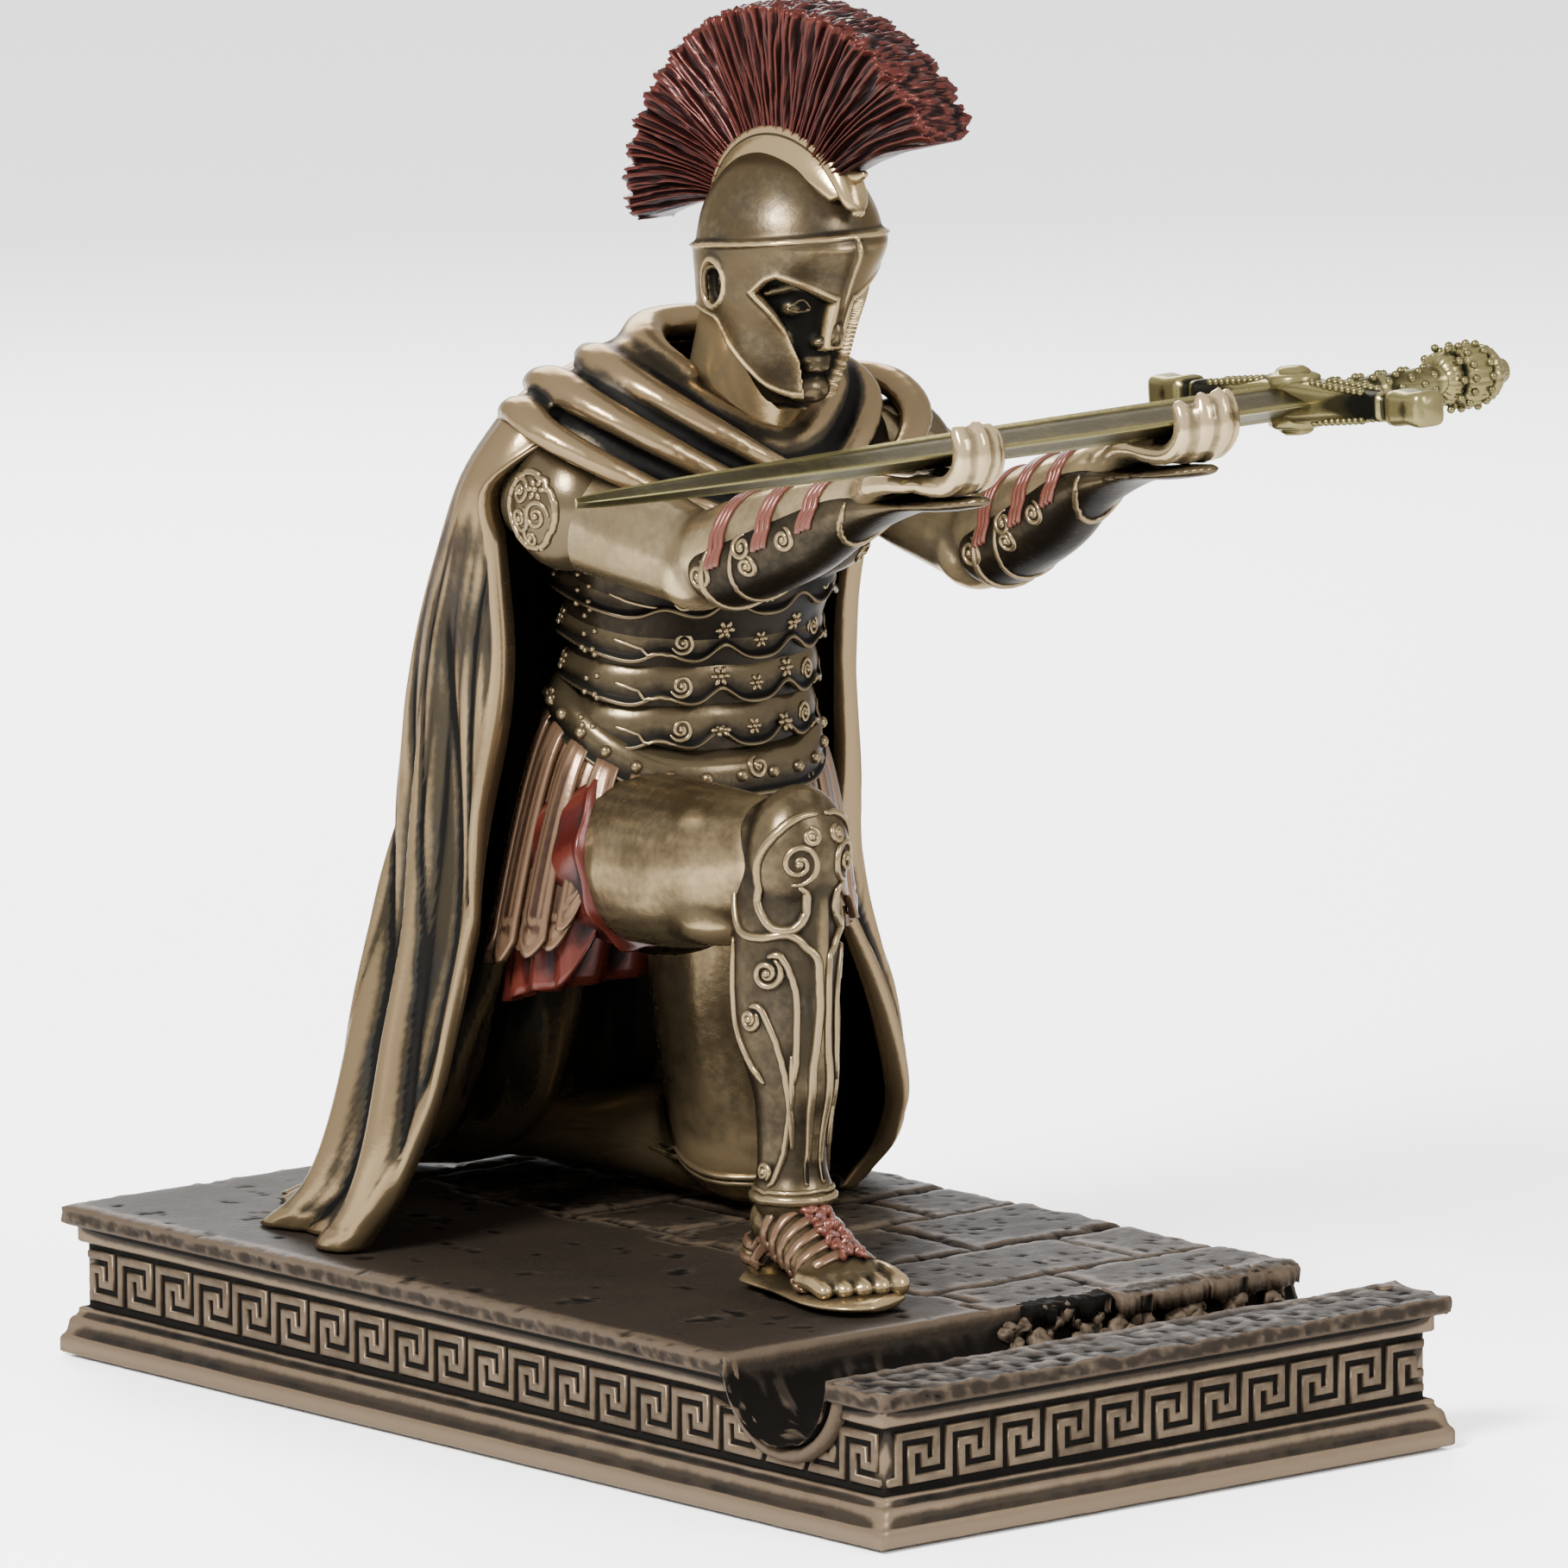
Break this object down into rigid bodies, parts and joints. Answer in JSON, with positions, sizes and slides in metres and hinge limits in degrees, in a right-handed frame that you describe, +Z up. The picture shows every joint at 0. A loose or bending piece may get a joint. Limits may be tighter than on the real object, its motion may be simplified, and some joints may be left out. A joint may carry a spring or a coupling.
{
  "type": "kneeling legionary figurine",
  "caption": "Kneeling helmeted legionary in a long cloak on a moulded plinth with a pen channel, holding out a loose letter-opener sword.",
  "frame": {"origin": "centre of the plinth's underside", "axes": "+Z up, the figure faces -Y, the sword lies along X with its pommel toward +X"},
  "size_m": [0.1506, 0.1711, 0.1792],
  "materials": {
    "plinth": "cold-cast bronze resin, darkly antiqued, rubbed bright on its edges",
    "figure": "cold-cast bronze resin, satin, antiqued in the hollows, with red-brown glazed crest and straps",
    "sword": "antique brass, black in the recesses"
  },
  "bodies": {
    "root": {"plinth": "plinth", "legionary": "figure", "sword": "sword"}
  },
  "joints": []
}
